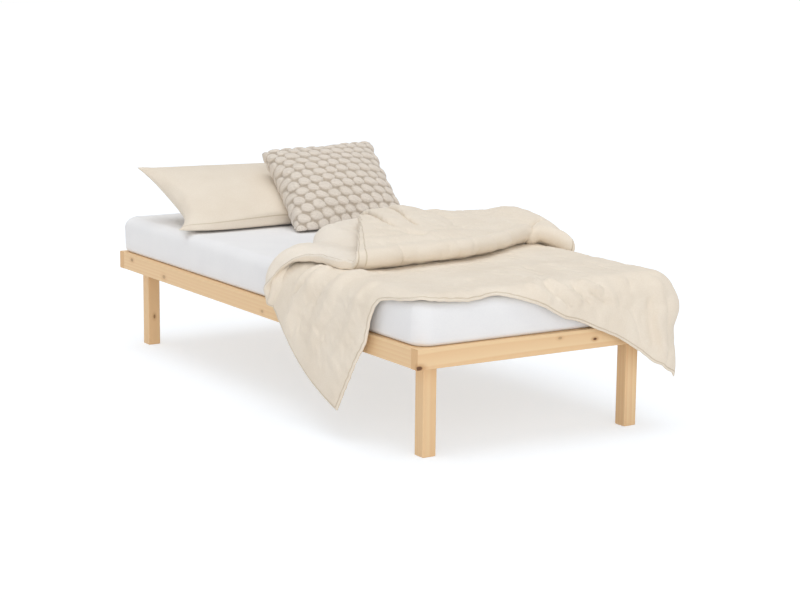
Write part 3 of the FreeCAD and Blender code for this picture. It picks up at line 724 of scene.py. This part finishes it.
# Duvet: one padded sheet, laid across the foot of the bed with a corner over
# the left side and one over the foot right corner, its head half folded back
# and forward again into a thick roll. Plan places are from the foot left
# corner of the frame, in metres; what lies past the mattress hangs down.
duvet = {
    "columns": 112, "rows": (80, 26, 54),
    # lines in plan from the left edge (0) to the right edge (1): share, x, y
    "hem": ((0.00, -0.380, 0.362), (0.06, -0.305, 0.330), (0.12, -0.228, 0.284), (0.18, -0.150, 0.236),
            (0.23, -0.075, 0.224), (0.28, -0.014, 0.190), (0.32, 0.006, 0.090), (0.345, 0.018, 0.030),
            (0.365, 0.050, 0.012), (0.45, 0.180, 0.002), (0.52, 0.280, 0.014), (0.58, 0.360, -0.014),
            (0.63, 0.440, -0.050), (0.67, 0.493, -0.084), (0.72, 0.570, -0.098), (0.79, 0.690, -0.156),
            (0.86, 0.780, -0.206), (0.91, 0.842, -0.249), (0.95, 0.900, -0.280), (0.98, 1.020, -0.265),
            (1.00, 1.130, -0.205)),
    "far": ((0.00, -0.135, 0.800), (0.05, -0.060, 0.752), (0.10, 0.010, 0.730), (0.15, 0.060, 0.745),
            (0.20, 0.105, 0.770), (0.245, 0.155, 0.810), (0.265, 0.195, 0.880), (0.33, 0.260, 0.925),
            (0.41, 0.370, 0.960), (0.50, 0.470, 0.965), (0.60, 0.580, 0.955), (0.75, 0.750, 0.910),
            (0.88, 0.920, 0.850), (1.00, 1.100, 0.800)),
    "near": ((0.00, 0.078, 0.468), (0.10, 0.132, 0.456), (0.20, 0.180, 0.450), (0.32, 0.285, 0.462),
             (0.44, 0.400, 0.466), (0.53, 0.480, 0.472), (0.63, 0.590, 0.520), (0.73, 0.690, 0.566),
             (0.82, 0.775, 0.615), (0.88, 0.850, 0.660), (0.94, 0.912, 0.625), (1.00, 0.975, 0.555)),
    "end": ((0.00, 0.385, 0.960), (0.14, 0.450, 1.020), (0.33, 0.550, 1.075), (0.56, 0.690, 1.085),
            (0.70, 0.790, 1.055), (0.85, 0.898, 0.995), (1.00, 1.018, 0.925)),
    # the head hem, which lies flat behind the roll
    "tail": ((0.00, 0.300, 1.045), (0.05, 0.362, 1.165), (0.12, 0.440, 1.165), (0.24, 0.520, 1.115),
             (0.56, 0.692, 1.097), (0.85, 0.901, 1.007), (1.00, 1.022, 0.937)),
    # share, bow of the part folded back, lift of the far fold, top of the roll
    "form": ((0.00, 0.055, 0.006, 0.600), (0.05, 0.045, 0.024, 0.603), (0.12, 0.030, 0.022, 0.606),
             (0.20, 0.016, 0.014, 0.610), (0.245, 0.010, 0.010, 0.612),
             (0.265, 0.000, 0.044, 0.614), (0.33, 0.000, 0.046, 0.614), (0.41, 0.000, 0.050, 0.612),
             (0.52, 0.000, 0.045, 0.598), (0.66, 0.000, 0.030, 0.582), (0.76, 0.000, 0.020, 0.580),
             (0.84, 0.000, 0.012, 0.580), (0.92, 0.000, 0.010, 0.600), (1.00, 0.000, 0.000, 0.608)),
    # passes that soften these lines, points of the straight laid part and steps between points of a curve
    "softening": 4, "laidPoints": 14, "curveSteps": 12,
    # how far the far fold reaches past its line, then share of the way back and of the lift
    "foldReach": 0.028, "bowEnd": 0.8,
    "backProfile": ((0.04, 1.0), (0.3, 0.75), (0.55, 0.35), (0.8, 0.08), (0.95, 0.0)),
    # the roll's front: way out before the near line and height; its back: share of the way on and height;
    # between them share of the way on and of the roll's height
    "rollFront": ((0.022, 0.016), (0.008, 0.036)), "rollBack": ((0.97, 0.024), (1.0, 0.006)),
    "rollProfile": ((0.06, 0.46), (0.2, 0.66), (0.4, 0.88), (0.58, 1.0), (0.74, 0.95), (0.88, 0.52)),
    "laidThickness": 0.020, "rollThickness": 0.030, "hemThickness": 0.007, "hemWidth": 0.045,
    "gap": 0.002, "lowest": 0.010,
    # the left end of the fold and of the roll is open and stays thick
    "openEnd": 0.036, "cuffEnd": 0.018, "openWidth": 0.03, "cuffLength": 0.08,
    "edgeRadius": 0.046, "hang": 0.006, "flare": 0.10,
    "cornerBulge": 0.024, "bulgeAt": 0.13, "bulgeWidth": 0.05,
    # the hanging left edge bows out, down and towards the head
    "edgeBow": 0.034, "bowShare": 0.15, "bowWay": (-0.85, 0.53),
    # creases and soft folds in plan: line, height, width
    "laidFolds": (
        (((0.06, 0.62), (-0.01, 0.65), (-0.04, 0.69), (-0.10, 0.76)), -0.014, 0.014),
        (((0.02, 0.56), (-0.05, 0.58), (-0.10, 0.64), (-0.18, 0.68)), 0.014, 0.022),
        (((0.03, 0.47), (-0.02, 0.505), (-0.09, 0.565), (-0.18, 0.60)), -0.012, 0.016),
        (((0.06, 0.42), (-0.06, 0.44), (-0.20, 0.52)), 0.012, 0.030),
        (((0.02, 0.36), (-0.05, 0.40), (-0.16, 0.49)), -0.010, 0.020),
        (((0.02, 0.28), (-0.10, 0.31), (-0.24, 0.39)), 0.008, 0.024),
        (((0.47, 0.10), (0.44, 0.02)), 0.010, 0.014), (((0.86, -0.02), (0.88, -0.24)), 0.014, 0.020),
        (((0.78, 0.00), (0.80, -0.16)), -0.010, 0.020),
        (((0.30, 0.20), (0.55, 0.28), (0.80, 0.22)), 0.008, 0.060)),
    "rollFolds": (
        (((0.345, 0.575), (0.365, 0.560)), -0.018, 0.020),
        (((0.60, 0.95), (0.62, 0.78), (0.58, 0.66)), -0.012, 0.035),
        (((0.86, 0.64), (0.90, 0.68), (0.94, 0.70)), -0.016, 0.012),
        (((0.20, 0.52), (0.42, 0.54), (0.66, 0.60)), 0.006, 0.030)),
    # short sharp wrinkles where the cloth bends over the foot edge
    "wrinkles": (
        (((0.480, 0.034), (0.515, 0.000), (0.553, -0.032)), 0.015, 0.009),
        (((0.487, -0.012), (0.526, -0.048)), -0.01, 0.008), (((0.592, 0.018), (0.64, -0.014)), 0.015, 0.009),
        (((0.61, -0.014), (0.655, -0.045)), -0.01, 0.008), (((0.556, 0.006), (0.594, -0.04)), -0.01, 0.008),
        (((0.408, 0.028), (0.444, -0.027)), 0.012, 0.01), (((0.455, 0.02), (0.478, -0.02)), -0.008, 0.008),
        (((0.66, 0.0), (0.69, -0.05)), 0.008, 0.01), (((0.85, -0.11), (0.87, -0.225)), 0.01, 0.011),
        (((0.82, -0.06), (0.835, -0.185)), -0.008, 0.01), (((0.03, 0.47), (-0.1, 0.555)), -0.006, 0.014),
        (((0.03, 0.6), (-0.05, 0.66)), 0.008, 0.012)),
    # pleats on the roll, where its right side laps over its left: line from the back to the front,
    # along which the pleat fades out over its last part; they start some rows up the roll
    "pleats": (((0.405, 0.98), (0.375, 0.80), (0.335, 0.62)), ((0.525, 0.98), (0.470, 0.78), (0.420, 0.62))),
    "pleatLap": 0.026, "pleatRise": 0.006, "pleatDepth": 0.030, "pleatWidth": 0.030,
    "pleatFade": 0.25, "pleatRow": 10,
    # the filling's soft lumps; the layers take other slices of the noise
    "puff": 0.004, "puffSize": 0.13, "puffSlices": (0.4, 0.7),
    "pressure": 0.0, "bending": 0.15, "ease": 0.045, "hold": 0.4, "holdWeight": 0.5,
    "frames": 16, "cap": 0.018,
    "seam": 0.008, "cuff": 0.032,
}


def drape(x, y, height):
    # lays a point of the flat plan over the mattress: what lies past an edge bends down and hangs
    radius = duvet["edgeRadius"] + height
    left = foot = duvet["edgeRadius"]
    right = frameWidth - duvet["edgeRadius"]
    overX = min(0.0, x - left) + max(0.0, x - right)
    overY = min(0.0, y - foot)
    over = math.hypot(overX, overY)
    if over < 1e-9:
        return Vector((x, y, mattressTop + height))
    bend = radius * math.pi / 2
    if over < bend:
        angle = over / radius
        out, down = radius * math.sin(angle), radius * (1 - math.cos(angle))
    else:
        hung = over - bend
        out, down = radius + duvet["flare"] * hung, radius + hung * math.sqrt(1 - duvet["flare"] ** 2)
    if overX > 0 and overY < 0:
        # the cloth stands off the right corner in a soft bulge
        corner = -2 * overX * overY / over ** 2
        away = (over - duvet["bulgeAt"]) / duvet["bulgeWidth"]
        out += duvet["cornerBulge"] * corner * math.exp(-away ** 2)
    way = Vector((overX / over, overY / over, 0))
    start = Vector((min(max(x, left), right), max(y, foot), mattressTop + height - down))
    return start + way * (out + duvet["hang"] * min(1.0, over / bend))


def station(name, shares):
    # a soft curve through the stations of one line of the duvet
    rows = np.array(duvet[name])
    table = np.stack([np.interp(shares, rows[:, 0], rows[:, k]) for k in range(1, rows.shape[1])], axis=1)
    for _ in range(duvet["softening"]):
        table[1:-1] = 0.25 * table[:-2] + 0.5 * table[1:-1] + 0.25 * table[2:]
    return table


def spread(points, count):
    # evenly spaced points along a smooth curve through the given ones
    points = [np.array(p, float) for p in points]
    padded = [2 * points[0] - points[1]] + points + [2 * points[-1] - points[-2]]
    fine = []
    for a, b, c, d in zip(padded, padded[1:], padded[2:], padded[3:]):
        for t in np.linspace(0, 1, duvet["curveSteps"], endpoint=False):
            fine.append(0.5 * (2 * b + (c - a) * t + (2 * a - 5 * b + 4 * c - d) * t ** 2
                               + (3 * b - a - 3 * c + d) * t ** 3))
    fine = np.array(fine + [points[-1]])
    length = np.concatenate([[0], np.cumsum(np.linalg.norm(np.diff(fine, axis=0), axis=1))])
    even = np.linspace(0, length[-1], count)
    return np.stack([np.interp(even, length, fine[:, k]) for k in range(3)], axis=1)


def duvetColumn(hem, far, near, end, tail, form):
    # one line of the duvet from foot hem to head end as plan place and height: laid part, folded back, roll
    backBow, lift, ridge = form
    laid, rolled = duvet["laidThickness"], duvet["rollThickness"]
    low = laid / 2 + duvet["gap"]
    back = low + laid / 2 + rolled / 2 + duvet["gap"]
    top = ridge - mattressTop - rolled / 2
    first = [(*(hem + t * (far - hem)), low) for t in np.linspace(0, 1, duvet["laidPoints"])]
    home = (near - far) / np.linalg.norm(near - far)
    second = [first[-1], (*(far - home * duvet["foldReach"]), (low + back + lift) / 2)]
    for t, share in duvet["backProfile"]:
        bow = backBow * math.sin(math.pi * min(1.0, t / duvet["bowEnd"]))
        second.append((*(far + t * (near - far) + np.array([bow, 0])), back + share * lift))
    on = (end - near) / np.linalg.norm(end - near)
    third = [second[-1]] + [(*(near - on * reach), back + rise) for reach, rise in duvet["rollFront"]]
    third += [(*(near + t * (end - near)), back + share * (top - back)) for t, share in duvet["rollProfile"]]
    third += [(*(near + t * (end - near)), low + rise) for t, rise in duvet["rollBack"]]
    third.append((*tail, low))
    parts = [spread(points, count) for points, count in zip((first, second, third), duvet["rows"])]
    return np.concatenate([parts[0], parts[1][1:], parts[2][1:]])


def foldHeight(plan, folds):
    # how far the folds lift or sink each plan place
    height = np.zeros(plan.shape[:-1])
    for line, rise, width in folds:
        nearest = np.full(height.shape, 1e9)
        for a, b in zip(np.array(line), np.array(line)[1:]):
            along = np.clip(((plan - a) @ (b - a)) / ((b - a) @ (b - a)), 0, 1)
            nearest = np.minimum(nearest, np.linalg.norm(plan - a - along[..., None] * (b - a), axis=-1))
        height += rise * np.exp(-(nearest / width) ** 2)
    return height


def layPleats(part):
    # pushes the cloth right of each pleat line over the sunk cloth left of it
    for line in duvet["pleats"]:
        line = np.array(line)
        nearest = np.full(part.shape[:-1], 1e9)
        side, run = np.zeros(nearest.shape), np.zeros(nearest.shape)
        across = np.zeros(nearest.shape + (2,))
        for number, (a, b) in enumerate(zip(line, line[1:])):
            way = (b - a) / np.linalg.norm(b - a)
            away = part[..., :2] - a
            along = np.clip(away @ (b - a) / ((b - a) @ (b - a)), 0, 1)
            gap = np.linalg.norm(away - along[..., None] * (b - a), axis=-1)
            closer = gap < nearest
            nearest = np.where(closer, gap, nearest)
            run = np.where(closer, (number + along) / (len(line) - 1), run)
            side = np.where(closer, way[0] * away[..., 1] - way[1] * away[..., 0], side)
            across = np.where(closer[..., None], np.array([-way[1], way[0]]), across)
        share = np.exp(-(nearest / duvet["pleatWidth"]) ** 2) * np.clip((1 - run) / duvet["pleatFade"], 0, 1)
        over = side >= 0
        part[..., :2] -= across * (duvet["pleatLap"] * share * over)[..., None]
        part[..., 2] += share * np.where(over, duvet["pleatRise"], -duvet["pleatDepth"])


def pressWrinkles(piece):
    # fine wrinkles on the upper side of the laid part, pressed into the finished mesh
    mesh = piece.data
    upper = np.zeros(len(mesh.vertices), bool)
    for face in mesh.polygons:
        if face.material_index == 0:
            upper[list(face.vertices)] = True
    plan = np.zeros(3 * len(mesh.vertices), np.float32)
    mesh.attributes["plan"].data.foreach_get("vector", plan)
    plan = plan.reshape(-1, 3)
    height = foldHeight(plan[:, :2], duvet["wrinkles"]) * (upper & (plan[:, 2] == 0))
    places = np.array([v.co + v.normal * h for v, h in zip(mesh.vertices, height)])
    mesh.vertices.foreach_set("co", places.astype(np.float32).ravel())
    mesh.attributes.remove(mesh.attributes["plan"])
    mesh.update()


def buildDuvet():
    count = duvet["columns"] + 1
    shares = np.linspace(0, 1, count)
    tables = [station(name, shares) for name in ("hem", "far", "near", "end", "tail", "form")]
    grid = np.array([duvetColumn(*(table[i] for table in tables)) for i in range(count)])
    rows = grid.shape[1]
    laidEnd, backEnd = duvet["rows"][0], duvet["rows"][0] + duvet["rows"][1] - 1
    bow = np.outer(np.clip(1 - shares / duvet["bowShare"], 0, 1), np.sin(np.linspace(0, math.pi, laidEnd)))
    grid[:, :laidEnd, :2] += duvet["edgeBow"] * bow[..., None] * np.array(duvet["bowWay"])
    grid[:, :laidEnd, 2] += foldHeight(grid[:, :laidEnd, :2], duvet["laidFolds"])
    grid[:, backEnd:, 2] += foldHeight(grid[:, backEnd:, :2], duvet["rollFolds"])
    layPleats(grid[:, backEnd + duvet["pleatRow"]:])
    bm = bmesh.new()
    bm.loops.layers.uv.new("flat")
    bmesh.ops.create_grid(bm, x_segments=count - 1, y_segments=rows - 1, size=0.5, calc_uvs=True)
    places = np.zeros((count, rows, 3))
    backSlice, rollSlice = duvet["puffSlices"]
    for vert in bm.verts:
        i, j = round((vert.co.x + 0.5) * (count - 1)), round((vert.co.y + 0.5) * (rows - 1))
        x, y, height = grid[i, j]
        spot = Vector((x, y, backSlice * (j > laidEnd) + rollSlice * (j > backEnd)))
        height += duvet["puff"] * noise.noise(spot / duvet["puffSize"])
        vert.co = drape(x, y, max(height, duvet["lowest"])) + footLeft
        places[i, j] = vert.co
    piece = newObject("foldedDuvet", bm)

    # distance of every place from the hem, for the stitching and the thinning of the filling
    across = np.cumsum(np.linalg.norm(np.diff(places, axis=0, prepend=places[:1]), axis=2), axis=0)
    along = np.cumsum(np.linalg.norm(np.diff(places, axis=1, prepend=places[:, :1]), axis=2), axis=1)
    fromLeft, fromRight = across, across[-1:] - across
    fromHem = np.minimum(np.minimum(fromLeft, fromRight), np.minimum(along, along[:, -1:] - along))
    full = np.where(np.arange(rows) < laidEnd, duvet["laidThickness"], duvet["rollThickness"])[None, :]
    thick = duvet["hemThickness"] + (full - duvet["hemThickness"]) * np.sin(
        np.clip(fromHem / duvet["hemWidth"], 0, 1) * math.pi / 2)
    row = np.arange(rows)[None, :] + 0 * fromLeft
    openEnd = np.where(row >= backEnd, duvet["cuffEnd"], np.where(row > laidEnd, duvet["openEnd"], 0))
    thick = np.where(fromLeft < duvet["openWidth"], np.maximum(thick, openEnd), thick)
    cuff = np.where((row > backEnd) & (fromLeft < duvet["cuffLength"]), 1.0, 0.0)
    # plan place and, third, 1 where the cloth is folded back
    plan = np.dstack([grid[..., :2], row >= laidEnd])
    # the mesh's vertices run across the columns first, then up the rows
    for name, kind, field, values in (("fromHem", "FLOAT", "value", fromHem.T),
                                      ("cuff", "FLOAT", "value", cuff.T),
                                      ("plan", "FLOAT_VECTOR", "vector", plan.transpose(1, 0, 2))):
        attribute = piece.data.attributes.new(name, kind, "POINT")
        attribute.data.foreach_set(field, values.astype(np.float32).ravel())
    group = piece.vertex_groups.new(name="filling")
    hold = piece.vertex_groups.new(name="hold")
    for index, value in enumerate(thick.T.ravel()):
        group.add([index], float(value) / duvet["rollThickness"], "REPLACE")
        hold.add([index], duvet["holdWeight"], "REPLACE")
    settle(piece, duvet)
    wall = piece.modifiers.new("filling", "SOLIDIFY")
    wall.thickness = duvet["rollThickness"]
    wall.offset = 0
    wall.vertex_group = "filling"
    wall.material_offset = 1
    subdivide(piece, 1)
    # both sides' materials are there before the wall is made, as its under side takes the second
    for side in ("duvet", "duvetUnder"):
        piece.data.materials.append(cottonMaterial(side, duvetSeams))
    bakeModifiers(piece)
    pressWrinkles(piece)
    dress(piece, [], "duvet", ["duvet"])


# stitching: one line along every hem, a second one along the cuff of the roll; their dark colour is partly
# painted shade
def duvetSeams(tree):
    fromHem = addNode(tree, "Attribute", attribute_name="fromHem").outputs["Fac"]
    cuff = addNode(tree, "Attribute", attribute_name="cuff").outputs["Fac"]
    inner = reckon(tree, "MULTIPLY", stitchLine(tree, fromHem, duvet["cuff"]), cuff)
    return reckon(tree, "MAXIMUM", stitchLine(tree, fromHem, duvet["seam"]), inner)


buildDuvet()
print("duvet ready")
